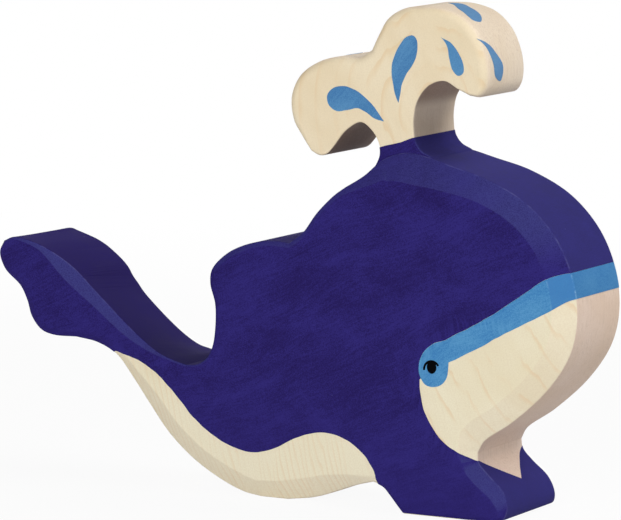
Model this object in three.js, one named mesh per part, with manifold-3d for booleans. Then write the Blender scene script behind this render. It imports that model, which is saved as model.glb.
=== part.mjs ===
// A whale figure sawn and carved from one board of maple, with hand-painted coats.
// Millimetres, +Z up, +X towards the nose. The figure stands on its belly and on the sole of its fin.
// The carved blank is one piece of wood, and each coat of paint is a thin film lying on it.
import * as THREE from 'three';
import { mergeVertices } from 'three/addons/utils/BufferGeometryUtils.js';
import Module from 'manifold-3d';

const wasm = await Module();
wasm.setup();

// Board
const BODY_THICKNESS = 36;
const FOUNTAIN_THICKNESS = 26;
const CHAMFER_SPREAD = 1.7; // run of a carved chamfer over the face for each millimetre of its depth
const FIN_SPREAD = 1; // the same for the front edge of the fin
const TAIL_SPREAD = 1; // the same for the top of the tail
const TAIL_LEFT_SHARE = 0.3; // depth of that edge on the left face, as a share of the right one's
// Lean of the wall behind that edge towards the left face, evenly spaced from the dorsal hump to the tip
const TAIL_LEAN = [0, 4.4, 5.9, 5.8, 4.1, 2.2, 2.1, 0];
const ROUNDING_SPREAD = 0.9; // the same for the rounded edges of the fountain
const ROUNDING_STEPS = 3;
const OUTLINE_STEP = 2.6;

// Paint
const PAINT_GAP = 0.3; // between the wood and a film
const PAINT_FILM = 0.3;
const PAINT_BORDER = 0.35; // bare line between two films
const SOLE_CLEARANCE = 0.5; // height of the lowest edge of a film over the table
const SOLE_MARGIN = 8; // reach of the bare sole's cut past the sole
const BORDER_STEP = 2;
const DROP_STEP = 1;

// Eye
const EYE_X = 151;
const EYE_Z = 44.6;
const PUPIL_WIDTH = 3.2;
const PUPIL_HEIGHT = 3.8;
const LASH_RADIUS = 2.5;
const LASH_WIDTH = 0.7;
const LASH_DROP = 0.7; // the lid's arc is centred this far below the pupil
const LASH_START = 0.52;
const LASH_END = 3.25;
const LASH_POINTS = 12;
const PUPIL_POINTS = 20;

// Bare tongue that the fin's top wall keeps under the jaw
const TONGUE_TOP = 19;
const TONGUE_TIP = 10.5;
const TONGUE_WIDTH = 29;
const TONGUE_REACH = [160, 178]; // from and to, along the whale

// Outline of the body, seen from its right side: x along the whale, z over the table, depth of the edge
const BELLY_FLAT = [[91, 0, 3.8], [100, 0, 3.8]];
const BELLY_FRONT = [
  [100, 0, 3.8], [109.5, 1.5, 3.8], [117.5, 4.1, 3.4], [125, 6.9, 2], [131, 8.6, 0.8],
];
const FIN_REAR = [
  [131, 8.6, 0.8], [134.5, 7.3, 0.8], [137, 4.8, 0.8], [139.2, 2.3, 0.8], [141.5, 0, 0.5],
];
const FIN_SOLE = [[141.5, 0, 0.5], [171, 0, 0.8]];
const FIN_FRONT = [
  [171, 0, 0.8], [173.9, 1.1, 1.6], [174.8, 4.1, 2.4], [173.1, 8.8, 3.2], [167.8, 13.6, 3.6],
  [164.8, 16.8, 3.6], [164.4, 19.8, 3.7],
];
const HEAD = [
  [164.4, 19.8, 3.7], [166.4, 23.2, 3.8], [175.8, 29.8, 3.8], [187.3, 40.4, 3.8], [194.2, 51, 3.8],
  [196.4, 61.5, 3.8], [195, 72.5, 3.8], [189.8, 84, 3.8], [180.3, 93.8, 3.8], [167.1, 100.4, 3.8],
  [155, 103.7, 4.2], [146.5, 105.8, 5], [138.5, 107.4, 5], [132, 104.6, 4], [127, 99.4, 2],
  [121, 95.6, 1],
];
const BACK = [
  [121, 95.6, 1], [117.6, 93.2, 0.9], [112, 87.8, 0.8], [107, 81.4, 0.8], [102.5, 78.1, 0.8],
];
const DORSAL = [
  [102.5, 78.1, 0.8], [96, 78.3, 0.8], [88, 76.8, 0.9], [80.6, 73.4, 1], [75.6, 68.4, 1],
  [75, 64.2, 1], [76.8, 58, 0.8], [76.8, 50.2, 0.7], [75.9, 45, 0.6], [74.2, 41.5, 0.4],
  [70.8, 39.2, 0.3], [66.8, 38.7, 0.3],
];
const TAIL_TOP = [
  [66.8, 38.7, 0.3], [62, 39.9, 0.3], [57.5, 41.4, 0.5], [53.6, 43.4, 0.9], [47.9, 47.1, 1.5],
  [42.4, 51.3, 1.8], [36.9, 55.9, 2], [31.3, 60.5, 2.3], [26.6, 64.4, 2.6], [22.1, 67.6, 2.5],
  [17.1, 70.6, 1.8], [12.1, 72.6, 1.2], [4.8, 73.8, 0.7], [1.4, 72.5, 0.7],
];
const TAIL_TIP = [
  [1.4, 72.5, 0.7], [-0.5, 68.9, 0.8], [1.2, 63.8, 1.1], [6.8, 58.8, 1.2], [9.2, 54.4, 1.2],
  [10.6, 49.6, 1.5], [14, 45.8, 1.3], [18.2, 44.4, 1.3], [27, 44.4, 1.2],
];
const BELLY_REAR = [
  [27, 44.4, 1.2], [35, 43.2, 1.1], [41.4, 40, 1.3], [46.7, 33, 2.4], [51.8, 25.2, 3.6],
  [58.8, 16.5, 3.8], [67.6, 9.2, 3.8], [77.7, 3.6, 3.8], [85, 0.9, 3.8], [91, 0, 3.8],
];
// Outline of the fountain, whose neck runs down into the head
const NECK_FOOT = [[124.5, 95.5, 0.6], [151, 99, 0.6]];
const RIGHT_ARCH = [
  [151, 99, 0.6], [150.6, 103.2, 0.6], [148.1, 105.7, 0.6], [144.7, 107.4, 0.6], [142.6, 110, 0.6],
  [142, 113.4, 0.6], [142, 117.4, 0.6], [143.2, 122.2, 0.6], [147, 126.8, 0.6], [152, 128.3, 0.6],
  [157, 126.4, 0.8], [161.2, 123.8, 2],
];
const RIGHT_LOBE = [
  [161.2, 123.8, 2], [164.8, 124.9, 2.8], [166, 129.8, 3], [165.2, 136.1, 3], [162.3, 142.5, 3],
  [157.2, 147.3, 3], [151, 149.4, 3], [144.5, 149.8, 3], [137.8, 149, 3], [132.4, 145.9, 3],
  [129.2, 140.8, 3], [127, 136.4, 3],
];
const LEFT_LOBE = [
  [127, 136.4, 3], [123.4, 134.3, 3], [117, 134.1, 3], [109.2, 132.2, 3], [102.8, 127.9, 3],
  [99.8, 121.5, 3], [100.6, 114.3, 3], [104.3, 108.8, 2.6], [107.2, 105.4, 2],
];
const LEFT_ARCH = [
  [107.2, 105.4, 2], [110, 104.4, 1], [112.9, 105, 0.6], [119.5, 112.4, 0.6], [124.4, 114.9, 0.6],
  [128.2, 112.4, 0.6], [130.4, 108.6, 0.6], [130.6, 105.4, 0.6], [129, 102, 0.6],
  [126.4, 98.6, 0.6], [124.5, 95.5, 0.6],
];
// Borders of the paint, in the same drawing as the outline; corners away from the wood close each loop
const NECK_BORDER = [[128, 107], [131, 108], [137, 109.6], [142, 111.3], [146, 112.4]];
const NECK_CORNERS = [[180, 112.4], [180, 160], [90, 160], [90, 103], [120, 103]];
const BELLY_BORDER = [
  [41.6, 41.2], [50, 39], [57, 35], [63, 29.6], [70, 22.6], [77, 17.8], [83.5, 15], [90, 14],
  [97, 15.6], [105, 19.6], [113, 22], [120, 21.4], [127, 17.8], [131.4, 12.6], [133, 7.6],
];
const BELLY_CORNERS = [[133, -8], [30, -8], [30, 36]];
const JAW_BORDER = [
  [147.1, 36.9], [148.5, 31.7], [151.1, 26.9], [154.8, 22.7], [158.8, 19.6], [162.8, 18.4],
  [166.4, 17.9],
];
const JAW_CORNERS = [[210, 17.9], [210, 71.5], [190, 69], [172, 59.5]];
const BAND_TOP = [
  [205, 74.6], [194.2, 74.9], [188.2, 73.1], [181, 68.3], [173.3, 63.1], [165.2, 58.2],
];
const JAW_START = [-4.6, -3.5]; // from the middle of the eye, as the ring round it is
const EYE_RING = [
  [4.7, 8.6], [0.2, 6.8], [-2.5, 4.4], [-4, 1.6], [-4.2, -1.8], [-2.7, -4.8], [0.1, -5.9],
  [3.1, -5], [5, -2.5], [5.6, 1.8],
];
const BAND_BOTTOM = [
  [165.2, 50.8], [173.3, 55.4], [181.4, 59.7], [187.9, 63], [195.8, 67.4], [205, 68.4],
];

// Drops on the faces of the fountain, each a loop that starts at its pointed end
const LOW_DROP = [
  [132.2, 115.6], [128.8, 119.7], [126.1, 122.2], [122.7, 124.3], [119, 125.4], [115.3, 124.8],
  [113.1, 122.5], [113.5, 119.8], [116, 118], [119.4, 118.3], [123.4, 119], [126.1, 118.1],
  [128.8, 116.4],
];
const HIGH_DROP = [
  [137, 121.4], [137.6, 124.1], [138.3, 127.2], [139.5, 129.7], [141.4, 132.4], [142.8, 135.2],
  [143.3, 137.9], [142.9, 140.2], [141.5, 141.4], [139.5, 140.7], [137.4, 138.4], [135.6, 135],
  [134.7, 131.2], [135.1, 127], [135.9, 123.8],
];
const SIDE_DROP = [
  [150.9, 141.3], [153.9, 139.9], [156.6, 137.1], [158.4, 133.7], [158.3, 131], [156.6, 130.1],
  [154.8, 131.8], [153.8, 135.2], [153, 138.7],
];
// Drops on the edge of the fountain: y and z on its right-hand wall, x and y on top of it
const EDGE_DROP = [
  [-12.2, 141.2], [-7.8, 139.1], [-5.1, 136.3], [-2.6, 133.1], [-2.9, 130.2], [-4.1, 128.3],
  [-7.6, 130.1], [-8.3, 133.6], [-9.7, 137.7],
];
const CREST_DROP = [
  [144.6, 3.6], [148.5, 4.2], [153.4, 1.2], [157.8, -1], [159.6, -4.8], [158.6, -8.2],
  [153.3, -5.9], [148.8, -0.6],
];
const LOBE_TOP_DROP = [
  [105.4, 6.4], [109, 7.4], [113.4, 6], [116.4, 2.6], [116.2, -0.6], [113.2, -0.8], [109.6, 2.4],
];
const DROP_REACH = 8; // how far the cut of such a drop reaches into the wood and out of it

// Colours
const MAPLE = { color: 0xe3d7ba, roughness: 0.6 };
const DARK_BLUE = { color: 0x2b2363, roughness: 0.45 };
const LIGHT_BLUE = { color: 0x5692c2, roughness: 0.5 };
const BLACK = { color: 0x050507, roughness: 0.35 };

const SIDES = { right: -1, left: 1 };

function solidFrom(positions, triangles) {
  const mesh = new wasm.Mesh({
    numProp: 3,
    vertProperties: new Float32Array(positions),
    triVerts: new Uint32Array(triangles),
  });
  return new wasm.Manifold(mesh);
}

// A smooth curve through points of two or three numbers, as evenly spaced samples without the last one
function samplesAlong(points, step) {
  const knots = points.map(([a, b, c = 0]) => new THREE.Vector3(a, b, c));
  const curve = new THREE.CatmullRomCurve3(knots, false, 'centripetal');
  const count = Math.max(2, Math.round(curve.getLength() / step));
  return curve.getSpacedPoints(count).slice(0, -1);
}

// Points round an outline, each with the depth of its edge, its run over the face and the lean of the wall
function outlineSamples(stretches) {
  return stretches.flatMap(({ points, spread, leftShare = 1, leans = [0, 0] }) => {
    const lean = new THREE.SplineCurve(leans.map((value, k) => new THREE.Vector2(k, value)));
    return samplesAlong(points, OUTLINE_STEP).map(({ x, y, z: depth }, i, { length }) => ({
      x,
      y,
      right: { depth, run: depth * spread, lean: 0 },
      left: {
        depth: depth * leftShare,
        run: depth * leftShare * spread,
        lean: lean.getPoint(i / length).y,
      },
    }));
  });
}

function outwardNormals(samples) {
  return samples.map((sample, i) => {
    const before = samples.at(i - 1);
    const after = samples[(i + 1) % samples.length];
    return new THREE.Vector2(after.y - before.y, before.x - after.x).normalize();
  });
}

// The board cut to an outline, with its edges taken off on both faces, grown outwards by a given amount
function carvedBoard({ outline, thickness, steps }, grow) {
  const samples = outlineSamples(outline);
  const normals = outwardNormals(samples);
  const half = thickness / 2;
  const rings = [];
  for (let k = 0; k <= steps; k += 1) {
    const angle = (Math.PI / 2) * (k / steps);
    rings.push({ side: 'right', inset: 1 - Math.sin(angle), sink: 1 - Math.cos(angle) });
  }
  for (let k = steps; k >= 0; k -= 1) {
    rings.push({ ...rings[k], side: 'left' });
  }
  const positions = [];
  for (const { side, inset, sink } of rings) {
    samples.forEach((sample, i) => {
      const { depth, run, lean } = sample[side];
      const out = grow - inset * run - lean;
      const across = SIDES[side] * (half + grow - sink * depth);
      positions.push(sample.x + normals[i].x * out, across, sample.y + normals[i].y * out);
    });
  }
  const count = samples.length;
  const triangles = [];
  for (let ring = 0; ring < rings.length - 1; ring += 1) {
    for (let i = 0; i < count; i += 1) {
      const a = ring * count + i;
      const b = ring * count + ((i + 1) % count);
      triangles.push(a, b + count, b, a, a + count, b + count);
    }
  }
  const faceTriangles = (start) => {
    const face = samples.map((sample, i) => (
      new THREE.Vector2(positions[3 * (start + i)], positions[3 * (start + i) + 2])
    ));
    return THREE.ShapeUtils.triangulateShape(face, []);
  };
  for (const [a, b, c] of faceTriangles(0)) {
    triangles.push(a, b, c);
  }
  const lastRing = (rings.length - 1) * count;
  for (const [a, b, c] of faceTriangles(lastRing)) {
    triangles.push(lastRing + a, lastRing + c, lastRing + b);
  }
  return solidFrom(positions, triangles);
}

const carved = (points) => ({ points, spread: CHAMFER_SPREAD });
const rounded = (points) => ({ points, spread: ROUNDING_SPREAD });
const BODY = {
  outline: [
    ...[BELLY_FLAT, BELLY_FRONT, FIN_REAR, FIN_SOLE].map(carved),
    { points: FIN_FRONT, spread: FIN_SPREAD },
    ...[HEAD, BACK, DORSAL].map(carved),
    { points: TAIL_TOP, spread: TAIL_SPREAD, leftShare: TAIL_LEFT_SHARE, leans: TAIL_LEAN },
    ...[TAIL_TIP, BELLY_REAR].map(carved),
  ],
  thickness: BODY_THICKNESS,
  steps: 1,
};
const FOUNTAIN = {
  outline: [NECK_FOOT, RIGHT_ARCH, RIGHT_LOBE, LEFT_LOBE, LEFT_ARCH].map(rounded),
  thickness: FOUNTAIN_THICKNESS,
  steps: ROUNDING_STEPS,
};

function wholeWhale(grow) {
  return carvedBoard(BODY, grow).add(carvedBoard(FOUNTAIN, grow));
}

// A loop of 2-D points made solid between two heights, along the axis that the turn gives it
function prism(loop, from, to, turn) {
  const shape = new THREE.Shape(loop.map(({ x, y }) => new THREE.Vector2(x, y)));
  const geometry = new THREE.ExtrudeGeometry(shape, { depth: to - from, bevelEnabled: false });
  geometry.deleteAttribute('normal');
  geometry.deleteAttribute('uv');
  geometry.translate(0, 0, from);
  geometry.applyMatrix4(turn);
  const merged = mergeVertices(geometry);
  return solidFrom(merged.attributes.position.array, merged.index.array);
}

// Turns of a drawing: x and z through the board, y and z along the whale, x and y from above
const ACROSS = new THREE.Matrix4().set(1, 0, 0, 0, 0, 0, -1, 0, 0, 1, 0, 0, 0, 0, 0, 1);
const LENGTHWISE = new THREE.Matrix4().set(0, 0, 1, 0, 1, 0, 0, 0, 0, 1, 0, 0, 0, 0, 0, 1);
const FROM_ABOVE = new THREE.Matrix4();

function smoothBorder(...stretches) {
  return stretches.flatMap((stretch) => samplesAlong(stretch, BORDER_STEP));
}

function corners(points) {
  return points.map(([x, y]) => new THREE.Vector3(x, y, 0));
}

function grownLoop(loop, grow) {
  const turn = THREE.ShapeUtils.isClockWise(loop) ? -1 : 1;
  return outwardNormals(loop).map((normal, i) => ({
    x: loop[i].x + turn * grow * normal.x,
    y: loop[i].y + turn * grow * normal.y,
  }));
}

const REACH_ACROSS = BODY_THICKNESS;
const throughBoard = (loop) => prism(loop, -REACH_ACROSS, REACH_ACROSS, ACROSS);
const throughSide = (loop, sign) => (
  sign < 0 ? prism(loop, 0, REACH_ACROSS, ACROSS) : prism(loop, -REACH_ACROSS, 0, ACROSS)
);

const bellyLoop = [...smoothBorder(BELLY_BORDER), ...corners([BELLY_BORDER.at(-1), ...BELLY_CORNERS])];
const neckLoop = [...smoothBorder(NECK_BORDER), ...corners([NECK_BORDER.at(-1), ...NECK_CORNERS])];
const fromEye = ([x, z]) => [EYE_X + x, EYE_Z + z];
const ring = EYE_RING.map(fromEye);
const bandLoop = [
  ...smoothBorder([...BAND_TOP, ring[0]], ring, [ring.at(-1), ...BAND_BOTTOM]),
  ...corners([BAND_BOTTOM.at(-1)]),
];
const jawLoop = [
  ...smoothBorder([fromEye(JAW_START), ...JAW_BORDER]),
  ...corners([JAW_BORDER.at(-1), ...JAW_CORNERS, [EYE_X, EYE_Z]]),
];

function dropLoop(points) {
  return samplesAlong([...points, points[0]], DROP_STEP);
}

// The pupil with the line of the lid over it
function eyeMark(sign, grow) {
  const pupil = new THREE.EllipseCurve(EYE_X, EYE_Z, PUPIL_WIDTH / 2 + grow, PUPIL_HEIGHT / 2 + grow);
  const lidArc = (radius) => (
    new THREE.EllipseCurve(EYE_X, EYE_Z - LASH_DROP, radius, radius, LASH_START, LASH_END)
      .getPoints(LASH_POINTS)
  );
  const outer = lidArc(LASH_RADIUS + LASH_WIDTH / 2 + grow);
  const inner = lidArc(LASH_RADIUS - LASH_WIDTH / 2 - grow);
  const lid = [...outer, ...inner.reverse()];
  return throughSide(pupil.getPoints(PUPIL_POINTS).slice(0, -1), sign).add(throughSide(lid, sign));
}

const wood = wholeWhale(0);
const film = wholeWhale(PAINT_GAP + PAINT_FILM).subtract(wholeWhale(PAINT_GAP));

function darkCoat() {
  const half = TONGUE_WIDTH / 2;
  const tongueLoop = corners([[-half, TONGUE_TOP], [0, TONGUE_TIP], [half, TONGUE_TOP]]);
  const [rear, front] = FIN_SOLE;
  const soleLoop = corners([
    [rear[0] - SOLE_MARGIN, -SOLE_MARGIN], [front[0] + SOLE_MARGIN, -SOLE_MARGIN],
    [front[0] + SOLE_MARGIN, SOLE_CLEARANCE], [rear[0] - SOLE_MARGIN, SOLE_CLEARANCE],
  ]);
  return [
    throughBoard(neckLoop),
    throughBoard(bellyLoop),
    throughBoard(jawLoop),
    throughBoard(grownLoop(bandLoop, PAINT_BORDER)),
    prism(tongueLoop, ...TONGUE_REACH, LENGTHWISE),
    throughBoard(soleLoop),
  ].reduce((coat, bare) => coat.subtract(bare), film);
}

function lightBand() {
  return Object.values(SIDES).reduce(
    (band, sign) => band.subtract(eyeMark(sign, PAINT_BORDER)),
    film.intersect(throughBoard(bandLoop)),
  );
}

const whale = new THREE.Group();

function addPiece(name, solid, look) {
  const { vertProperties, triVerts } = solid.getMesh();
  const geometry = new THREE.BufferGeometry();
  geometry.setAttribute('position', new THREE.BufferAttribute(vertProperties, 3));
  geometry.setIndex(new THREE.BufferAttribute(triVerts, 1));
  geometry.computeVertexNormals();
  const piece = new THREE.Mesh(geometry, new THREE.MeshStandardMaterial({ metalness: 0, ...look }));
  piece.name = name;
  whale.add(piece);
}

addPiece('carved_maple_blank', wood, MAPLE);
addPiece('dark_blue_coat', darkCoat(), DARK_BLUE);
addPiece('light_blue_band', lightBand(), LIGHT_BLUE);
for (const [side, sign] of Object.entries(SIDES)) {
  addPiece(`${side}_eye`, film.intersect(eyeMark(sign, 0)), BLACK);
  const drops = { low: LOW_DROP, high: HIGH_DROP, side: SIDE_DROP };
  for (const [place, points] of Object.entries(drops)) {
    const drop = film.intersect(throughSide(dropLoop(points), sign));
    addPiece(`${side}_${place}_drop`, drop, LIGHT_BLUE);
  }
}
const edgeCut = (points, wall, turn) => prism(dropLoop(points), wall - DROP_REACH, wall + DROP_REACH, turn);
const farthest = (points, place) => Math.max(...points.map((point) => point[place]));
const edgeDrops = {
  edge_drop: edgeCut(EDGE_DROP, farthest(RIGHT_LOBE, 0), LENGTHWISE),
  crest_drop: edgeCut(CREST_DROP, farthest(RIGHT_LOBE, 1), FROM_ABOVE),
  lobe_top_drop: edgeCut(LOBE_TOP_DROP, farthest(LEFT_LOBE, 1), FROM_ABOVE),
};
for (const [name, cutter] of Object.entries(edgeDrops)) {
  addPiece(name, film.intersect(cutter), LIGHT_BLUE);
}

// Centre the whale over the origin, halfway between the tail's tip and the nose
const across = outlineSamples(BODY.outline).map(({ x }) => x);
whale.position.x = -(Math.min(...across) + Math.max(...across)) / 2;

export default whale;
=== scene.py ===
import math
from collections import namedtuple

import bmesh
import bpy
import numpy as np
from mathutils import Matrix, Vector, kdtree, noise


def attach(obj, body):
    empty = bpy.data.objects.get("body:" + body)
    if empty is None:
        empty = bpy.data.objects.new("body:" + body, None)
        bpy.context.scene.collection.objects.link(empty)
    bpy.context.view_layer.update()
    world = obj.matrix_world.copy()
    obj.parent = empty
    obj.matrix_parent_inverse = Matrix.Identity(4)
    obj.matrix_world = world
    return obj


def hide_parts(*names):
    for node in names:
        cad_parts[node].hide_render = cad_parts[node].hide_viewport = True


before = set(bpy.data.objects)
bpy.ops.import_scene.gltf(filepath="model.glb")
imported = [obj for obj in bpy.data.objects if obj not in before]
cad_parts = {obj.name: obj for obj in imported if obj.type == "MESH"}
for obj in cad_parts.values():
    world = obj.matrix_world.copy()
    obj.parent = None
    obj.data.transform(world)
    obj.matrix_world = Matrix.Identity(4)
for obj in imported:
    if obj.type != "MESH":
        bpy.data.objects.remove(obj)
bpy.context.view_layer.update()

# The shapes are drawn in millimetres, x along the whale and z over the table, and scaled once at the end
MM = 0.001

# Board
BODY_THICKNESS = 36
FOUNTAIN_THICKNESS = 26
CHAMFER_SPREAD = 1.7  # run of a carved chamfer over the face for each millimetre of its depth
FIN_SPREAD = 1
TAIL_SPREAD = 1.5
TAIL_LEFT_SHARE = 0.3  # depth of the tail's top edge on the left face, as a share of the right one's
# How much further in the tail's top edge lies on the left face, evenly spaced from the valley to the tip
TAIL_LEAN = [0, 4.4, 5.9, 5.8, 4.5, 2.6, 2.4, 0]
ROUNDING_SPREAD = 0.9
EDGE_EASE = 0.4  # how far the sanding takes off each side of a chamfer's crease
EASE_SHARE = 0.35  # the most of a narrow chamfer that it takes
CORNER_ROOM = 0.9  # the most of the room inside a corner that an edge may run in over the face

# Fineness
SPAN_SAMPLES = 20
BLEND_SAMPLES = 9  # over how many samples the run of an edge changes where two stretches meet
OUTLINE_STEP = 1.1
OUTLINE_TURN = math.radians(5)
ROUNDING_STEPS = 12
BORDER_STEP = 0.5
ARC_POINTS = 40
CREASE_SHARES = (0, 0.25, 0.5, 0.75)  # places between two samples of a crease
SMOOTH_ANGLE = math.radians(9)
FLAT_FACE = 0.99999  # how nearly across the board a flat face looks
NEAR_ZERO = 1e-6

# Paint films
COAT_GAP = 0.02
COAT_FILM = 0.08
BAND_BORDER = 0.05  # between the two blues
WAVER = 0.16  # how far a hand-drawn border strays
WAVER_SIZE = 3.2
SOLE_CLEARANCE = 0.3
REACH_ACROSS = 36
SIDES = {"right": (-REACH_ACROSS, 0), "left": (0, REACH_ACROSS)}
DROP_REACH = 8
WEAR_AND_HIGHLIGHT_REACH = 0.15  # how near a vertex lies to a crease that is rubbed and given a painted highlight
RUB_AND_HIGHLIGHT_DEPTH = 0.7  # shallower edges are neither rubbed nor given a painted highlight
FACE_WEAR_AND_HIGHLIGHT = 0.12  # wear and painted highlight where a chamfer meets the face, as a share of that where it meets the wall

# Eye
EYE_X = 151
EYE_Z = 44.6
PUPIL_WIDTH = 3.2
PUPIL_HEIGHT = 3.8
LID_RADIUS = 2.5
LID_WIDTH = 0.7
LID_DROP = 0.7  # the lid's arc is centred this far below the pupil
LID_START = 0.52  # angles of its ends in radians
LID_END = 3.25

# Outline of the body from its right side: x, z and the depth of the edge
BELLY_FLAT = [(91, 0, 3.8), (100, 0, 3.8)]
BELLY_FRONT = [(100, 0, 3.8), (109.5, 1.5, 3.8), (117.5, 4.1, 3.4), (125, 6.9, 2), (131, 8.6, 0.8)]
FIN_REAR = [(131, 8.6, 0.8), (134.5, 7.3, 0.8), (137, 4.8, 0.8), (139.2, 2.3, 0.8), (141.5, 0, 0.5)]
FIN_SOLE = [(141.5, 0, 0.5), (171, 0, 0.8)]
FIN_FRONT = [
    (171, 0, 0.8), (173.9, 1.1, 1.6), (174.8, 4.1, 2.4), (173.1, 8.8, 3.2), (167.8, 13.6, 3.6),
    (164.8, 16.8, 3.6), (164.4, 19.8, 3.7),
]
HEAD = [
    (164.4, 19.8, 3.7), (166.4, 23.2, 3.8), (175.8, 29.8, 3.8), (187.3, 40.4, 3.8), (194.2, 51, 3.8),
    (196.4, 61.5, 3.8), (195, 72.5, 3.8), (189.8, 84, 3.8), (180.3, 93.8, 3.8), (167.1, 100.4, 3.8),
    (155, 103.7, 4.2), (147, 105.8, 4.8), (139.5, 106.7, 4.8), (132.6, 104.4, 4), (127, 99.4, 2),
    (121, 95.6, 1),
]
BACK = [(121, 95.6, 1), (117.6, 93.2, 0.9), (112, 87.8, 0.8), (107, 81.4, 0.8), (102.5, 78.1, 0.8)]
DORSAL = [
    (102.5, 78.1, 0.8), (96, 78.3, 0.8), (88, 76.8, 0.9), (80.6, 73.4, 1), (75.6, 68.4, 1),
    (75, 64.2, 1), (76.8, 58, 0.8), (76.8, 50.2, 0.7), (75.9, 45, 0.6), (74.2, 41.5, 0.4),
    (70.8, 39.2, 0.3), (66.8, 38.7, 0.3),
]
TAIL_TOP = [
    (66.8, 38.7, 0.3), (62, 39.9, 0.3), (57.5, 41.4, 0.5), (53.6, 43.4, 0.9), (47.9, 47.1, 1.5),
    (42.4, 51.3, 1.8), (36.9, 55.9, 2), (31.3, 60.5, 2.3), (26.6, 64.4, 2.6), (22.1, 67.6, 2.2),
    (17.1, 70.6, 1.2), (12.1, 72.6, 0.7), (4.8, 73.8, 0.5), (1.4, 72.5, 0.5),
]
TAIL_TIP = [
    (1.4, 72.5, 0.5), (-0.5, 68.9, 0.8), (1.2, 63.8, 1.1), (6.8, 58.8, 1.2), (9.2, 54.4, 1.2),
    (10.6, 49.6, 1.5), (14, 45.8, 1.3), (18.2, 44.4, 1.3), (27, 44.4, 1.2),
]
BELLY_REAR = [
    (27, 44.4, 1.2), (35, 43.2, 1.1), (41.4, 40, 1.3), (46.7, 33, 2.4), (51.8, 25.2, 3.6),
    (58.8, 16.5, 3.8), (67.6, 9.2, 3.8), (77.7, 3.6, 3.8), (85, 0.9, 3.8), (91, 0, 3.8),
]

# Outline of the fountain, whose neck runs down into the head
NECK_FOOT = [(124.5, 95.5, 0.6), (151, 99, 0.6)]
RIGHT_ARCH = [
    (151, 99, 0.6), (150.6, 103.2, 0.6), (148.1, 105.7, 0.6), (144.7, 107.4, 0.6), (142.6, 110, 0.6),
    (142, 113.4, 0.6), (142, 117.4, 0.6), (143.2, 122.2, 0.6), (147, 126.8, 0.6), (152, 128.3, 0.6),
    (156.4, 126.1, 1), (160, 124.3, 2.4),
]
RIGHT_LOBE = [
    (160, 124.3, 2.4), (163.2, 124.1, 3), (165.3, 126.4, 3.2), (166, 130.4, 3), (165.2, 136.1, 3),
    (162.3, 142.5, 3), (157.2, 147.3, 3), (151, 149.4, 3), (144.5, 149.8, 3), (137.8, 149, 3),
    (132.4, 145.9, 3), (129.2, 140.8, 3), (127, 136.4, 3),
]
LEFT_LOBE = [
    (127, 136.4, 3), (123.4, 134.3, 3), (117, 134.1, 3), (109.2, 132.2, 3), (102.8, 127.9, 3),
    (99.8, 121.5, 3), (100.6, 114.3, 3), (104.3, 108.8, 2.6), (107.2, 105.4, 2),
]
LEFT_ARCH = [
    (107.2, 105.4, 2), (110, 104.4, 1), (112.9, 105, 0.6), (119.5, 112.4, 0.6), (124.4, 114.9, 0.6),
    (128.2, 112.4, 0.6), (130.4, 108.6, 0.6), (130.6, 105.4, 0.6), (129, 102, 0.6),
    (126.4, 98.6, 0.6), (124.5, 95.5, 0.6),
]

# Borders of the paint in the same drawing; corners away from the wood close each loop
NECK_BORDER = [(128, 107), (131, 108), (137, 109.6), (142, 111.3), (146, 112.4)]
NECK_CORNERS = [(180, 112.4), (180, 160), (90, 160), (90, 103), (120, 103)]
BELLY_BORDER = [
    (41.6, 41.2), (50, 39), (57, 35), (63, 29.6), (70, 22.6), (77, 17.8), (83.5, 15), (90, 14),
    (97, 15.6), (105, 19.6), (113, 22), (120, 21.4), (127, 17.8), (131.4, 12.6), (133, 7.6),
]
BELLY_CORNERS = [(133, -8), (30, -8), (30, 36)]
JAW_BORDER = [
    (146.9, 40.6), (147.2, 36.9), (148.5, 31.7), (151.1, 26.9), (154.8, 22.7), (158.6, 20.5),
    (162, 18.7), (164.4, 17.4),
]
JAW_CORNERS = [(210, 17.4), (210, 71.5), (190, 69), (172, 59.5), (EYE_X, EYE_Z)]
BAND_TOP = [
    (205, 74.6), (194.2, 74.9), (188.2, 73.1), (181, 68.3), (173.3, 63.1), (165.2, 58.2), (155.7, 53.2),
]
EYE_RING = [
    (155.7, 53.2), (151.2, 51.4), (148.5, 49), (147, 46.2), (146.8, 42.8), (148.3, 39.8), (151.1, 38.7),
    (154.1, 39.6), (156, 42.1), (156.6, 46.4),
]
BAND_BOTTOM = [
    (156.6, 46.4), (165.2, 50.8), (173.3, 55.4), (181.4, 59.7), (187.9, 63), (195.8, 67.4), (205, 68.4),
]
TONGUE = [(-14.5, 17.7), (0, 10.5), (14.5, 17.7)]  # y and z of the bare wood on the fin's top wall
TONGUE_REACH = (160, 178)
SOLE_CORNERS = [(134, -8), (179, -8), (179, SOLE_CLEARANCE), (134, SOLE_CLEARANCE)]

# Drops on the faces of the fountain, each a loop that starts at its pointed end
LOW_DROP = [
    (132.2, 115.6), (128.8, 119.7), (126.1, 122.2), (122.7, 124.3), (119, 125.4), (115.3, 124.8),
    (113.1, 122.5), (113.5, 119.8), (116, 118), (119.4, 118.3), (123.4, 119), (126.1, 118.1),
    (128.8, 116.4),
]
HIGH_DROP = [
    (137, 121.4), (137.6, 124.1), (138.3, 127.2), (139.5, 129.7), (141.4, 132.4), (142.8, 135.2),
    (143.3, 137.9), (142.9, 140.2), (141.5, 141.4), (139.5, 140.7), (137.4, 138.4), (135.6, 135),
    (134.7, 131.2), (135.1, 127), (135.9, 123.8),
]
SIDE_DROP = [
    (150.9, 141.3), (153.9, 139.9), (156.6, 137.1), (158.4, 133.7), (158.3, 131), (156.6, 130.1),
    (154.8, 131.8), (153.8, 135.2), (153, 138.7),
]
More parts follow.
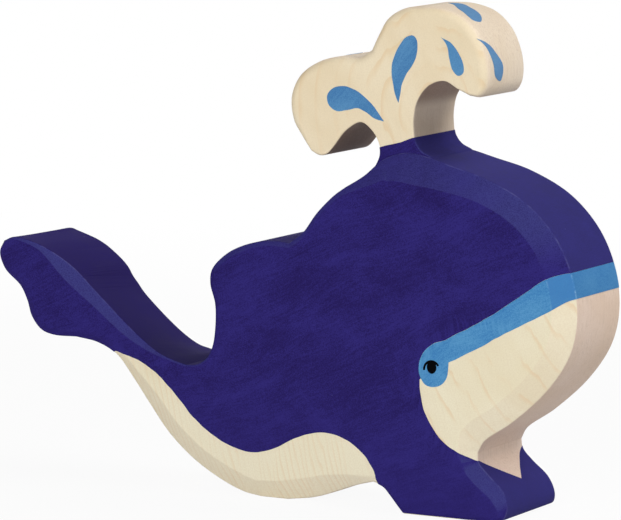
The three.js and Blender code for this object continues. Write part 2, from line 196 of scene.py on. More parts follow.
# Drops on the edge of the fountain: y and z on its right-hand wall, x and y on top of it
EDGE_DROP = [
    (-12.2, 141.2), (-7.8, 139.1), (-5.1, 136.3), (-2.6, 133.1), (-2.9, 130.2), (-4.1, 128.3),
    (-7.6, 130.1), (-8.3, 133.6), (-9.7, 137.7),
]
EDGE_WALL = 165.6
CREST_DROP = [
    (144.6, 3.6), (148.5, 4.2), (153.4, 1.2), (157.8, -1), (159.6, -4.8), (158.6, -8.2),
    (153.3, -5.9), (148.8, -0.6),
]
CREST_TOP = 149.8
LOBE_TOP_DROP = [
    (105.4, 6.4), (109, 7.4), (113.4, 6), (116.4, 2.6), (116.2, -0.6), (113.2, -0.8), (109.6, 2.4),
]
LOBE_TOP = 136.4

Outline = namedtuple("Outline", "loop right_depth right_run left_depth left_run lean")


def curve_points(points):
    """A centripetal Catmull-Rom curve through the points, as close samples that include both ends."""
    knots = np.array(points, float)
    knots = np.vstack([2 * knots[0] - knots[1], knots, 2 * knots[-1] - knots[-2]])
    shares = np.linspace(0, 1, SPAN_SAMPLES, endpoint=False)[:, None]
    spans = []
    for before, start, end, after in zip(knots, knots[1:], knots[2:], knots[3:]):
        t0 = math.sqrt(np.linalg.norm(start - before))
        t1 = math.sqrt(np.linalg.norm(end - start))
        t2 = math.sqrt(np.linalg.norm(after - end))
        leave = ((start - before) / t0 - (end - before) / (t0 + t1) + (end - start) / t1) * t1
        arrive = ((end - start) / t1 - (after - start) / (t1 + t2) + (after - end) / t2) * t1
        square = 3 * (end - start) - 2 * leave - arrive
        cube = 2 * (start - end) + leave + arrive
        spans.append(start + leave * shares + square * shares ** 2 + cube * shares ** 3)
    return np.vstack([*spans, knots[-2:-1]])


def spaced(samples, step, turn):
    """The same curve with samples a step apart, closer where it bends, without its last point."""
    legs = np.diff(samples[:, :2], axis=0)
    headings = np.unwrap(np.arctan2(legs[:, 1], legs[:, 0]))
    bends = np.abs(np.diff(headings, prepend=headings[0]))
    way = np.concatenate([[0], np.cumsum(np.hypot(legs[:, 0], legs[:, 1]) / step + bends / turn)])
    stops = np.linspace(0, way[-1], max(2, round(way[-1])), endpoint=False)
    return np.column_stack([np.interp(stops, way, column) for column in samples.T])


def outline_of(stretches):
    """The samples round an outline, with what its stretches say of the edge at each of them."""
    rows = []
    for stretch in stretches:
        samples = curve_points(stretch["points"])
        legs = np.linalg.norm(np.diff(samples[:, :2], axis=0), axis=1)
        share = np.concatenate([[0], np.cumsum(legs)]) / legs.sum()
        x, z, depth, share = spaced(np.column_stack([samples, share]), OUTLINE_STEP, OUTLINE_TURN).T
        left = depth * stretch.get("left_share", 1)
        leans = stretch.get("leans", [0, 0])
        lean_curve = curve_points(list(zip(np.linspace(0, 1, len(leans)), leans)))
        lean = np.interp(share, *lean_curve.T)
        spread = stretch["spread"]
        rows.append(np.column_stack([x, z, depth, depth * spread, left, left * spread, lean]))
    rows = np.vstack(rows)
    return Outline(rows[:, :2], *rows[:, 2:].T)


def around(values):
    """For each place of a loop, the values at the samples round it."""
    reach = BLEND_SAMPLES // 2
    return [np.roll(values, shift) for shift in range(-reach, reach + 1)]


def eased_run(run, room):
    """The run of an edge, kept inside the room that corners leave it and changing gently."""
    least_room = np.min(around(room), axis=0)
    return np.mean(around(np.minimum(run, least_room)), axis=0)


def unit(vectors):
    return vectors / np.linalg.norm(vectors, axis=1, keepdims=True)


def outward(loop):
    """Outward normals of a loop that runs anticlockwise."""
    along = unit(loop - np.roll(loop, 1, axis=0)) + unit(np.roll(loop, -1, axis=0) - loop)
    return unit(np.column_stack([along[:, 1], -along[:, 0]]))


def corner_room(loop, normals):
    """How far an edge may run in over the face at each point before it meets another side."""
    apart = loop[:, None] - loop[None, :]
    inward = np.einsum("ijk,ik->ij", apart, normals)
    square = np.sum(apart ** 2, axis=2)
    ball = np.divide(square, 2 * inward, out=np.full_like(square, np.inf), where=inward > NEAR_ZERO)
    return CORNER_ROOM * ball.min(axis=1)


def eased_chamfer(run, depth):
    """Insets and sinks of a chamfer from the face to the wall, with both of its creases sanded."""
    slant = np.hypot(run, depth)
    ease = np.minimum(EDGE_EASE, EASE_SHARE * slant)
    back, down = ease * run / slant, ease * depth / slant
    zero = np.zeros_like(run)
    crease_rings = []
    for inset, sink, before, after in (
        (run, zero, (ease, zero), (-back, down)),
        (zero, depth, (back, -down), (zero, ease)),
    ):
        # The middle of a parabola that leaves and arrives along the two sides of the crease
        middle = [(first + second) / 4 for first, second in zip(before, after)]
        crease_rings += [(inset + move[0], sink + move[1]) for move in (before, middle, after)]
    return crease_rings


# Rings of a chamfered board in the middle of its creases, on the right face and on the left one
FACE_CREASE_RINGS = (1, 10)
WALL_CREASE_RINGS = (4, 7)


def rounded_edge(run, depth):
    """Insets and sinks of an edge that is rounded from the face to the wall."""
    angles = np.linspace(0, math.pi / 2, ROUNDING_STEPS + 1)
    return [(run * (1 - math.sin(angle)), depth * (1 - math.cos(angle))) for angle in angles]


def new_object(name, vertices, faces):
    """A mesh of triangles, which the booleans need, with its faces turned outwards."""
    mesh = bpy.data.meshes.new(name)
    mesh.from_pydata([tuple(vertex) for vertex in vertices], [], faces)
    shell = bmesh.new()
    shell.from_mesh(mesh)
    bmesh.ops.recalc_face_normals(shell, faces=shell.faces)
    bmesh.ops.triangulate(shell, faces=shell.faces)
    shell.to_mesh(mesh)
    shell.free()
    piece = bpy.data.objects.new(name, mesh)
    bpy.context.scene.collection.objects.link(piece)
    return piece


def board_rings(stretches, thickness, edge, grow):
    """Rings of points round a board cut to an outline, from the right face over the wall to the left."""
    outline = outline_of(stretches)
    normals = outward(outline.loop)
    room = corner_room(outline.loop, normals)
    half = thickness / 2
    right = edge(eased_run(outline.right_run, room), outline.right_depth)
    left = edge(eased_run(outline.left_run, room), outline.left_depth)
    moves = [(grow - inset, sink - half - grow) for inset, sink in right]
    moves += [(grow - inset - outline.lean, half + grow - sink) for inset, sink in reversed(left)]
    rings = []
    for out, across in moves:
        x, z = (outline.loop + normals * out[:, None]).T
        rings.append(np.column_stack([x, across, z]))
    return rings


def carved_board(stretches, thickness, edge, grow):
    """The board with its edges taken off on both faces, grown by a given amount."""
    rings = board_rings(stretches, thickness, edge, grow)
    count = len(rings[0])
    faces = [tuple(range(count))]
    for ring in range(len(rings) - 1):
        for i in range(count):
            a, b = ring * count + i, ring * count + (i + 1) % count
            faces.append((a, a + count, b + count, b))
    last = (len(rings) - 1) * count
    faces.append(tuple(last + i for i in reversed(range(count))))
    return new_object("board", np.vstack(rings), faces)


def combined(target, tool, operation):
    """The target after a boolean with the tool, which is then thrown away."""
    modifier = target.modifiers.new("boolean", "BOOLEAN")
    modifier.solver = "MANIFOLD"
    modifier.operation = operation
    modifier.object = tool
    graph = bpy.context.evaluated_depsgraph_get()
    result = bpy.data.meshes.new_from_object(target.evaluated_get(graph))
    target.modifiers.clear()
    target.data = result
    bpy.data.objects.remove(tool)
    return target


def copy_of(source):
    twin = source.copy()
    twin.data = source.data.copy()
    bpy.context.scene.collection.objects.link(twin)
    return twin


def carved(points):
    return {"points": points, "spread": CHAMFER_SPREAD}


def rounded(points):
    return {"points": points, "spread": ROUNDING_SPREAD}


BODY = [
    *map(carved, (BELLY_FLAT, BELLY_FRONT, FIN_REAR, FIN_SOLE)),
    {"points": FIN_FRONT, "spread": FIN_SPREAD},
    *map(carved, (HEAD, BACK, DORSAL)),
    {"points": TAIL_TOP, "spread": TAIL_SPREAD, "left_share": TAIL_LEFT_SHARE, "leans": TAIL_LEAN},
    *map(carved, (TAIL_TIP, BELLY_REAR)),
]
FOUNTAIN = [*map(rounded, (NECK_FOOT, RIGHT_ARCH, RIGHT_LOBE, LEFT_LOBE, LEFT_ARCH))]

body_outline = outline_of(BODY)
body_x = body_outline.loop[:, 0]
MIDDLE = (body_x.min() + body_x.max()) / 2


def whole_whale(grow):
    body = carved_board(BODY, BODY_THICKNESS, eased_chamfer, grow)
    fountain = carved_board(FOUNTAIN, FOUNTAIN_THICKNESS, rounded_edge, grow)
    return combined(body, fountain, "UNION")


def hand_drawn(points, seed):
    """A border through the points that strays a little, as a brush does, without its last point."""
    loop = spaced(curve_points(points), BORDER_STEP, math.inf)
    along = unit(np.gradient(loop, axis=0))
    stray = [noise.noise(Vector((x / WAVER_SIZE, z / WAVER_SIZE, seed))) for x, z in loop]
    return loop + np.column_stack([along[:, 1], -along[:, 0]]) * np.array(stray)[:, None] * WAVER


def border_loop(stretches, corners):
    """A loop of hand-drawn stretches, closed over the corners; each stretch strays in its own way."""
    drawn = [hand_drawn(points, seed) for seed, points in enumerate(stretches)]
    return np.vstack([*drawn, [stretches[-1][-1], *corners]])


def drop_loop(points):
    """A hand-drawn drop, which strays in a way that the number of its points decides."""
    return hand_drawn([*points, points[0]], len(points))


def through_board(a, b, height):
    return (a, height, b)


def along_whale(a, b, height):
    return (height, a, b)


def from_above(a, b, height):
    return (a, b, height)


def prism(loop, low, high, turn):
    """A loop made solid between two heights, standing on the plane that the turn gives."""
    count = len(loop)
    vertices = [turn(a, b, height) for height in (low, high) for a, b in loop]
    faces = [tuple(range(count)), tuple(range(count, 2 * count))]
    faces += [(i, (i + 1) % count, (i + 1) % count + count, i + count) for i in range(count)]
    return new_object("cutter", vertices, faces)


def cutter_through(loop):
    return prism(loop, -REACH_ACROSS, REACH_ACROSS, through_board)


def grown_loop(loop, grow):
    area = np.sum(loop[:, 0] * np.roll(loop[:, 1], -1) - loop[:, 1] * np.roll(loop[:, 0], -1))
    return loop + outward(loop) * grow * np.sign(area)


def arc(radius_x, radius_z, middle_z, start, end):
    angles = np.linspace(start, end, ARC_POINTS)
    return np.column_stack([EYE_X + radius_x * np.cos(angles), middle_z + radius_z * np.sin(angles)])


def eye_mark(side):
    """A cutter for the pupil and the line of the lid over it, on one side of the board."""
    pupil = arc(PUPIL_WIDTH / 2, PUPIL_HEIGHT / 2, EYE_Z, 0, 2 * math.pi)[:-1]
    wide = LID_RADIUS + LID_WIDTH / 2
    narrow = LID_RADIUS - LID_WIDTH / 2
    outer = arc(wide, wide, EYE_Z - LID_DROP, LID_START, LID_END)
    inner = arc(narrow, narrow, EYE_Z - LID_DROP, LID_END, LID_START)
    lid = prism(np.vstack([outer, inner]), *SIDES[side], through_board)
    return combined(prism(pupil, *SIDES[side], through_board), lid, "UNION")


painted_rings = board_rings(BODY, BODY_THICKNESS, eased_chamfer, COAT_GAP + COAT_FILM)


def crease_tree(crease_rings):
    """Points close together along a crease on both faces, where it is deep, searched by distance."""
    points = []
    for index, depth in zip(crease_rings, (body_outline.right_depth, body_outline.left_depth)):
        ring = painted_rings[index]
        way = np.roll(ring, -1, axis=0) - ring
        points += [(ring + way * share)[depth > RUB_AND_HIGHLIGHT_DEPTH] for share in CREASE_SHARES]
    points = np.vstack(points)
    tree = kdtree.KDTree(len(points))
    for index, point in enumerate(points):
        tree.insert(point, index)
    tree.balance()
    return tree


CREASES = [(crease_tree(WALL_CREASE_RINGS), 1), (crease_tree(FACE_CREASE_RINGS), FACE_WEAR_AND_HIGHLIGHT)]


def wear_and_highlight_creases(piece):
    """Keeps in each vertex how much the paint there is rubbed and lit by a painted highlight, from none at
    0 to the most at 1.
    """
    wear_and_highlight = piece.data.attributes.new("wear_and_highlight", "FLOAT", "POINT")
    for vertex in piece.data.vertices:
        for tree, most in CREASES:
            near = 1 - tree.find(vertex.co)[2] / WEAR_AND_HIGHLIGHT_REACH
            wear_and_highlight.data[vertex.index].value = max(wear_and_highlight.data[vertex.index].value, most * near)


def finished(piece, name, material):
    """Scales a piece to metres, names and shades it, and puts it in the place of its CAD node."""
    piece.name = f"{name}_detail"
    piece.data.name = piece.name
    wear_and_highlight_creases(piece)
    piece.data.transform(Matrix.Scale(MM, 4) @ Matrix.Translation((-MIDDLE, 0, 0)))
    shell = bmesh.new()
    shell.from_mesh(piece.data)
    for face in shell.faces:
        face.smooth = True
    for edge in shell.edges:
        flat = [abs(face.normal.y) > FLAT_FACE for face in edge.link_faces]
        meets_flat = any(flat) and not all(flat)
        edge.smooth = not meets_flat and edge.calc_face_angle(math.pi) < SMOOTH_ANGLE
    shell.to_mesh(piece.data)
    shell.free()
    piece.data.materials.clear()
    piece.data.materials.append(material)
    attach(piece, "root")
    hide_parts(name)


class Nodes:
    """A node tree, with methods for the nodes that the world and the materials share."""

    def __init__(self, tree):
        self.tree = tree

    def node(self, kind, inputs=(), **settings):
        made = self.tree.nodes.new(kind)
        for setting, value in settings.items():
            setattr(made, setting, value)
        for socket, value in dict(inputs).items():
            self.feed(made.inputs[socket], value)
        return made

    def feed(self, socket, value):
        if isinstance(value, bpy.types.NodeSocket):
            self.tree.links.new(value, socket)
        else:
            socket.default_value = value

    def math(self, operation, first, second=0):
        return self.node("ShaderNodeMath", {0: first, 1: second}, operation=operation).outputs[0]

    def between(self, value, low, high, start=0, end=1):
        """The value mapped smoothly from low..high to start..end."""
        inputs = {"Value": value, "From Min": low, "From Max": high, "To Min": start, "To Max": end}
        return self.node("ShaderNodeMapRange", inputs, interpolation_type="SMOOTHSTEP").outputs["Result"]

    def seen(self):
        """1 for rays that show the studio, also in a reflection, and 0 for those that carry its light."""
        rays = self.node("ShaderNodeLightPath").outputs
        mirrored = self.math("MAXIMUM", rays["Is Camera Ray"], rays["Is Glossy Ray"])
        return self.math("MAXIMUM", mirrored, rays["Is Transmission Ray"])


class Shader(Nodes):
    """A material's node tree, with one method for each kind of node that the paint and the wood use."""

    def __init__(self, name):
        self.material = bpy.data.materials.new(name)
        self.material.use_nodes = True
        super().__init__(self.material.node_tree)
        self.principled = self.tree.nodes["Principled BSDF"]
        self.place = self.node("ShaderNodeTexCoord").outputs["Object"]

    def sized(self, size, turn=0, vector=None):
        """Places in units of a feature's size in millimetres, after a turn about the board's normal."""
        inputs = {
            "Vector": vector or self.place,
            "Rotation": (0, turn, 0),
            "Scale": [length * MM for length in size],
        }
        return self.node("ShaderNodeMapping", inputs, vector_type="TEXTURE").outputs["Vector"]

    def noise(self, vector, detail=3, roughness=0.55, distortion=0):
        inputs = {
            "Vector": vector, "Scale": 1, "Detail": detail,
            "Roughness": roughness, "Distortion": distortion,
        }
        return self.node("ShaderNodeTexNoise", inputs).outputs["Fac"]

    def spots(self, vector):
        return self.node("ShaderNodeTexVoronoi", {"Vector": vector, "Scale": 1}).outputs["Distance"]

    def mixed(self, share, first, second, blend="MIX"):
        """A mix of two colours, whose sockets share their names with others and go by number."""
        inputs = {0: share, 6: first, 7: second}
        return self.node("ShaderNodeMix", inputs, data_type="RGBA", blend_type=blend).outputs[2]

    def axis(self, vector, name):
        return self.node("ShaderNodeSeparateXYZ", {"Vector": vector}).outputs[name]

    def looking(self, name):
        """How far the surface looks along an axis of the object."""
        return self.axis(self.node("ShaderNodeNewGeometry").outputs["Normal"], name)

    def facing(self, name):
        return self.math("ABSOLUTE", self.looking(name))

    def product(self, *factors):
        result = factors[0]
        for factor in factors[1:]:
            result = self.math("MULTIPLY", result, factor)
        return result

    def rest(self, share):
        return self.math("SUBTRACT", 1, share)

    def swept(self, size, reach):
        """Places that are moved by up to about half a reach in millimetres, so that strokes bend."""
        inputs = {"Vector": self.sized((size, size, size)), "Scale": 1, "Detail": 1}
        drift = self.node("ShaderNodeTexNoise", inputs).outputs["Color"]
        drift = self.node("ShaderNodeVectorMath", {0: drift, "Scale": reach * MM}, operation="SCALE")
        inputs = {0: self.place, 1: drift.outputs["Vector"]}
        return self.node("ShaderNodeVectorMath", inputs, operation="ADD").outputs["Vector"]

    def wear_and_highlight(self):
        return self.node("ShaderNodeAttribute", attribute_name="wear_and_highlight").outputs["Fac"]

    def ringed(self, middle, size):
        """Distance in the drawing from a middle, in units of a size in millimetres."""
        centre = ((middle[0] - MIDDLE) * MM, 0, middle[1] * MM)
        flat = self.node("ShaderNodeVectorMath", {0: self.place, 1: (1, 0, 1)}, operation="MULTIPLY")
        inputs = {0: flat.outputs["Vector"], 1: centre}
        away = self.node("ShaderNodeVectorMath", inputs, operation="DISTANCE")
        return self.math("DIVIDE", away.outputs["Value"], size * MM)

    def beyond(self, name, low, high):
        """Smoothly 0 to 1 between two places of the drawing along an axis."""
        shift = MIDDLE if name == "X" else 0
        return self.between(self.axis(self.place, name), (low - shift) * MM, (high - shift) * MM)

    def bump(self, height, depth, strength):
        inputs = {"Height": height, "Distance": depth * MM, "Strength": strength}
        self.feed(self.principled.inputs["Normal"], self.node("ShaderNodeBump", inputs).outputs["Normal"])

    def surface(self, color, roughness, specular):
        self.feed(self.principled.inputs["Base Color"], color)
        self.feed(self.principled.inputs["Roughness"], roughness)
        self.principled.inputs["Specular IOR Level"].default_value = specular
        return self.material


def srgb(red, green, blue):
    """A colour as it is seen, from 0 to 255, in the linear values that the shader takes."""
    def linear(value):
        share = value / 255
        return share / 12.92 if share <= 0.04045 else ((share + 0.055) / 1.055) ** 2.4

    return (linear(red), linear(green), linear(blue), 1)


# Colours of the wood, and tints that multiply them
MAPLE_PALE = srgb(239, 231, 205)
MAPLE_HONEY = srgb(233, 222, 192)
MAPLE_AMBER = srgb(227, 197, 152)
MAPLE_FIBRE = srgb(216, 198, 166)
MAPLE_END = srgb(196, 172, 150)
BODY_BLUSH = (0.97, 0.86, 0.94, 1)
FOUNTAIN_BLUSH = (1, 0.93, 0.98, 1)
FOUNTAIN_WARMTH = (0.98, 0.915, 0.875, 1)
# Painted shade for the arches under the fountain's lobes, which also stands for darker end grain
ARCH_SHADE_AND_END_GRAIN = (0.42, 0.355, 0.35, 1)

# Growth rings: pitch in millimetres, wander in pitches, where in a ring the late wood starts, and strength
Rings = namedtuple("Rings", "pitch wander late strength")
BELLY_RINGS = Rings(1.8, 3.5, 0.5, 0.45)
JAW_RINGS = Rings(7.2, 1.5, 0.76, 0.65)
FOUNTAIN_RINGS = Rings(5.6, 1.5, 0.6, 0.75)
BELLY_SLANT = math.radians(-13)
JAW_SLANT = math.radians(-38)
FOUNTAIN_HEART = (149, 120)  # middle of the rings on the fountain
LATE_FULL = 0.93  # where in a ring the late wood is darkest
LATE_END = 0.94  # where it starts to give way to the next ring
LATE_SHARE = 0.75

# Sizes of the wood's marks in millimetres along x, across the board and along z
RING_DRIFT_SIZE = (9, 40, 60)
RING_PATCH_SIZE = (7, 30, 24)
FIBRE_SIZE = (0.35, 2.5, 12)
HONEY_SIZE = (14, 22, 30)
WOOD_GRIT_SIZE = (0.45, 0.45, 0.45)
SAW_MARK_SIZE = (0.5, 0.5, 30)

# Values of a noise at which a mark starts and is full, and the most that it covers
RING_PATCHES = (0.36, 0.66)
HONEY_CLOUDS = (0.32, 0.7)
FIBRES = (0.5, 0.8)
FIBRE_SHARE = 0.22
WOOD_GRIT = (0.32, 0.7)
WOOD_GRIT_SHARE = 0.26
SAW_MARKS = (0.48, 0.72)
SAW_MARK_SHARE = 0.35

# Places in the drawing where a zone starts and is full
JAW_X = (136, 142)
FOUNTAIN_Z = (100, 106)
HONEY_Z = (8, 40)
UNDER_LOBES_X = (163, 159)
NECK_REAR_X = (138, 142)
NECK_FRONT_X = (147, 143)
NECK_SHADE_SHARE = 0.25  # how much of an underside's painted shade the neck's front wall has

# How far a surface looks across the board, or up, where a mark starts and is full
LINES_ACROSS = (0.3, 0.85)
WALL_ACROSS = (0.75, 0.3)
CHAMFER_ACROSS = (0.98, 0.9)
CHAMFER_BLUSH = 0.15
UNDERSIDE = (0, -0.6)

# Finish of the wood
WOOD_RELIEF = 0.04
WOOD_RELIEF_STRENGTH = 0.3
WOOD_GRIT_RELIEF = 0.5
WOOD_SHEEN_FIBRES = (0.2, 0.8)
WOOD_ROUGHNESS = (0.55, 0.68)
WOOD_SPECULAR = 0.1


def growth_lines(wood, place, rings):
    """Late wood that darkens slowly across each growth ring and ends at once, in broken lines."""
    drift = wood.noise(wood.sized(RING_DRIFT_SIZE))
    ring = wood.math("FRACT", wood.math("ADD", place, wood.product(drift, rings.wander)))
    line = wood.product(wood.between(ring, rings.late, LATE_FULL), wood.between(ring, 1, LATE_END))
    patches = wood.noise(wood.sized(RING_PATCH_SIZE), detail=2)
    return wood.product(line, wood.between(patches, *RING_PATCHES), rings.strength)


def slanted_lines(wood, rings, slant):
    return growth_lines(wood, wood.axis(wood.sized((rings.pitch, 1, 1), slant), "X"), rings)


def maple():
    wood = Shader("sanded_maple")
    across = wood.facing("Y")
    high = wood.beyond("Z", *FOUNTAIN_Z)
    wall = wood.between(across, *WALL_ACROSS)

    belly = slanted_lines(wood, BELLY_RINGS, BELLY_SLANT)
    jaw = slanted_lines(wood, JAW_RINGS, JAW_SLANT)
    fountain = growth_lines(wood, wood.ringed(FOUNTAIN_HEART, FOUNTAIN_RINGS.pitch), FOUNTAIN_RINGS)
    lines = wood.mixed(high, wood.mixed(wood.beyond("X", *JAW_X), belly, jaw), fountain)
    lines = wood.product(lines, wood.between(across, *LINES_ACROSS), LATE_SHARE)
    fibres = wood.noise(wood.sized(FIBRE_SIZE, BELLY_SLANT), detail=4, roughness=0.6)
    grit = wood.noise(wood.sized(WOOD_GRIT_SIZE), detail=2)

    clouds = wood.noise(wood.sized(HONEY_SIZE, JAW_SLANT))
    honey = wood.product(wood.between(clouds, *HONEY_CLOUDS), wood.beyond("Z", *HONEY_Z))
    color = wood.mixed(honey, MAPLE_PALE, MAPLE_HONEY)
    color = wood.mixed(wood.product(high, wood.rest(wall)), color, FOUNTAIN_WARMTH, "MULTIPLY")
    color = wood.mixed(lines, color, MAPLE_AMBER)
    color = wood.mixed(wood.between(fibres, *FIBRES, 0, FIBRE_SHARE), color, MAPLE_FIBRE)
    color = wood.mixed(wood.between(grit, *WOOD_GRIT, 0, WOOD_GRIT_SHARE), color, MAPLE_FIBRE)

    chamfer = wood.between(across, *CHAMFER_ACROSS, 0, CHAMFER_BLUSH)
    color = wood.mixed(wood.product(chamfer, wood.rest(high)), color, BODY_BLUSH, "MULTIPLY")
    color = wood.mixed(wall, color, wood.mixed(high, BODY_BLUSH, FOUNTAIN_BLUSH), "MULTIPLY")
    # Painted shade: the undersides of the lobes and the neck's wall in the right arch are darkened, partly
    # as darker end grain
    shade_under_lobes = wood.product(wood.beyond("X", *UNDER_LOBES_X), wood.between(wood.looking("Z"), *UNDERSIDE))
    shade_on_neck = wood.product(wood.beyond("X", *NECK_FRONT_X), wood.beyond("X", *NECK_REAR_X), NECK_SHADE_SHARE)
    arch_shade = wood.product(wall, high, wood.math("MAXIMUM", shade_under_lobes, shade_on_neck))
    color = wood.mixed(arch_shade, color, ARCH_SHADE_AND_END_GRAIN, "MULTIPLY")
    saw_marks = wood.between(wood.noise(wood.sized(SAW_MARK_SIZE)), *SAW_MARKS)
    color = wood.mixed(wood.product(wall, saw_marks, SAW_MARK_SHARE), color, MAPLE_END)

    relief = wood.math("ADD", fibres, wood.product(grit, WOOD_GRIT_RELIEF))
    wood.bump(relief, WOOD_RELIEF, WOOD_RELIEF_STRENGTH)
    roughness = wood.between(fibres, *WOOD_SHEEN_FIBRES, *WOOD_ROUGHNESS)
    return wood.surface(color, roughness, WOOD_SPECULAR)


# Brush marks: sizes in millimetres along the stroke, across the board and across the stroke
STROKE_BEND = (34, 9)  # size and reach of the bends
CLOUD_SIZE = (18, 16, 11)
STROKE_SIZE = (9, 2, 0.55)
PAINT_GRIT_SIZE = (0.28, 0.28, 0.28)
CLOUD_SHARE = 0.36
STROKE_SHARE = 0.2
GRIT_SHARE = 0.44
TONES = (0.36, 0.64)  # from the dark to the light tone
LOW_Z = (40, 5)
LOW_SHARE = 0.35  # how much lighter the coat is near the table

# Strokes that follow the border round the jaw, by their distance from its middle in millimetres
JAW_HEART = (167, 38)
HALO_OUTER = (25, 21)
HALO_INNER = (18.5, 19.5)
HALO_SIZE = (0.7, 9, 9)
HALO_BEND = (20, 10)
HALO_TONES = (0.4, 0.65)
HALO_SHARE = 0.6

# Walls and chamfers of the coat, by how far they look across the board; painted shade on the rear walls,
# painted light on the head's walls, and dust that has settled on the chamfers together with a painted
# sheen
COAT_WALL = (0.52, 0.4)
COAT_CHAMFER = (0.98, 0.9)
REAR_WALL_SHADE_X = (110, 60)
REAR_WALL_SHADE = 0.8  # how much of the dark tone the rear walls have: painted shade on the tail's walls
HEAD_WALL_X = (100, 140)
HEAD_WALL_LIGHT = 0.4
DUST_AND_LIGHT_RISE = 0.24  # how much further up a surface looks that is full of dust and painted light
DUST_AND_LIGHT_FORWARD = (-0.05, 0.3)
DUST_AND_LIGHT_BEHIND = 0.5  # dust and painted light on surfaces that look back, as a share of that on others
DUST_AND_LIGHT_SPECKLE = 0.4  # dust and painted light between its specks, as a share of that in them

# Wear of the paint, and a painted highlight along the rubbed creases
CREASE_PATCH_SIZE = (3.4, 3.4, 3.4)
CREASE_PATCHES = (0.4, 0.66)
SPECK_SPACING = (8, 8, 8)
SPECK_EDGE = (0.03, 0.012)  # distance from the middle of a speck, in spacings
SPECK_SHARE = 0.4

# Finish of the paint
PAINT_RELIEF = 0.03
PAINT_RELIEF_STRENGTH = 0.3
PAINT_SHEEN_TONES = (0.3, 0.7)
PAINT_ROUGHNESS = (0.66, 0.8)
PAINT_SPECULAR = 0.04

# Black paint
POOL_SIZE = (0.8, 0.8, 0.8)
POOL_RELIEF = 0.05
POOL_RELIEF_STRENGTH = 0.3
POOL_TONES = (0.3, 0.7)
BLACK_ROUGHNESS = (0.45, 0.6)
BLACK_SPECULAR = 0.02


def brushed(name, dark, light, dust_and_painted_light, dust_and_light_from, worn_and_highlight, rub_and_highlight, direction):
    """Matte paint laid on with a brush that moved in a given direction over the board."""
    paint = Shader(name)
    swept = paint.swept(*STROKE_BEND)
    cloud_place = paint.sized(CLOUD_SIZE, direction, swept)
    stroke_place = paint.sized(STROKE_SIZE, direction, swept)
    clouds = paint.noise(cloud_place, detail=4, roughness=0.6, distortion=0.6)
    strokes = paint.noise(stroke_place, detail=3, roughness=0.6, distortion=0.5)
    grit = paint.noise(paint.sized(PAINT_GRIT_SIZE), detail=2)
    tone = paint.math("ADD", paint.product(clouds, CLOUD_SHARE), paint.product(strokes, STROKE_SHARE))
    tone = paint.math("ADD", tone, paint.product(grit, GRIT_SHARE))
    color = paint.mixed(paint.between(tone, *TONES), dark, light)
    color = paint.mixed(paint.product(paint.beyond("Z", *LOW_Z), LOW_SHARE), color, light)

    ring = paint.ringed(JAW_HEART, 1)
    round_jaw = paint.product(paint.between(ring, *HALO_OUTER), paint.between(ring, *HALO_INNER))
    sweep = paint.noise(paint.sized(HALO_SIZE, vector=paint.swept(*HALO_BEND)))
    halo = paint.product(round_jaw, paint.between(sweep, *HALO_TONES), HALO_SHARE)
    color = paint.mixed(halo, color, light)

    across = paint.facing("Y")
    wall = paint.between(across, *COAT_WALL)
    chamfer = paint.product(paint.rest(wall), paint.between(across, *COAT_CHAMFER))
    # Painted shade: the walls towards the tail are darkened towards the dark tone
    rear_wall_shade = paint.product(wall, paint.beyond("X", *REAR_WALL_SHADE_X), REAR_WALL_SHADE)
    color = paint.mixed(rear_wall_shade, color, dark)
    # Dust and painted light: chamfers that look up and forward take the dust colour, as settled dust and
    # as a painted sheen, and on the band as painted shade
    upward = paint.between(paint.looking("Z"), dust_and_light_from, dust_and_light_from + DUST_AND_LIGHT_RISE)
    forward = paint.between(paint.looking("X"), *DUST_AND_LIGHT_FORWARD, DUST_AND_LIGHT_BEHIND, 1)
    speckle = paint.between(grit, *TONES, DUST_AND_LIGHT_SPECKLE, 1)
    chamfer_dust_and_light = paint.product(chamfer, upward, forward, speckle)
    # Painted light: the walls of the head take the dust colour
    head_wall_light = paint.product(wall, paint.beyond("X", *HEAD_WALL_X), HEAD_WALL_LIGHT)
    color = paint.mixed(paint.math("ADD", chamfer_dust_and_light, head_wall_light), color, dust_and_painted_light)

    # Painted highlight and wear: the creases take the worn colour in broken patches, as rubbed paint and
    # as the shine of a rounded edge; the specks are worn paint
    broken = paint.between(paint.noise(paint.sized(CREASE_PATCH_SIZE), detail=4), *CREASE_PATCHES)
    color = paint.mixed(paint.product(paint.wear_and_highlight(), broken, rub_and_highlight), color, worn_and_highlight)
    specks = paint.spots(paint.sized(SPECK_SPACING))
    color = paint.mixed(paint.between(specks, *SPECK_EDGE, 0, SPECK_SHARE), color, worn_and_highlight)

    paint.bump(paint.math("ADD", strokes, grit), PAINT_RELIEF, PAINT_RELIEF_STRENGTH)
    roughness = paint.between(tone, *PAINT_SHEEN_TONES, *PAINT_ROUGHNESS)
    return paint.surface(color, roughness, PAINT_SPECULAR)


def black_enamel():
    paint = Shader("black_enamel")
    pool = paint.noise(paint.sized(POOL_SIZE), detail=2)
    color = paint.mixed(pool, srgb(1, 1, 2), srgb(3, 3, 6))
    paint.bump(pool, POOL_RELIEF, POOL_RELIEF_STRENGTH)
    return paint.surface(color, paint.between(pool, *POOL_TONES, *BLACK_ROUGHNESS), BLACK_SPECULAR)


# Materials
MAPLE = maple()
DARK_BLUE = brushed(
    "dark_blue_satin", dark=srgb(34, 24, 83), light=srgb(50, 42, 119), dust_and_painted_light=srgb(60, 61, 122),
    dust_and_light_from=0.14, worn_and_highlight=srgb(128, 126, 176), rub_and_highlight=0.22, direction=math.radians(-24),
)
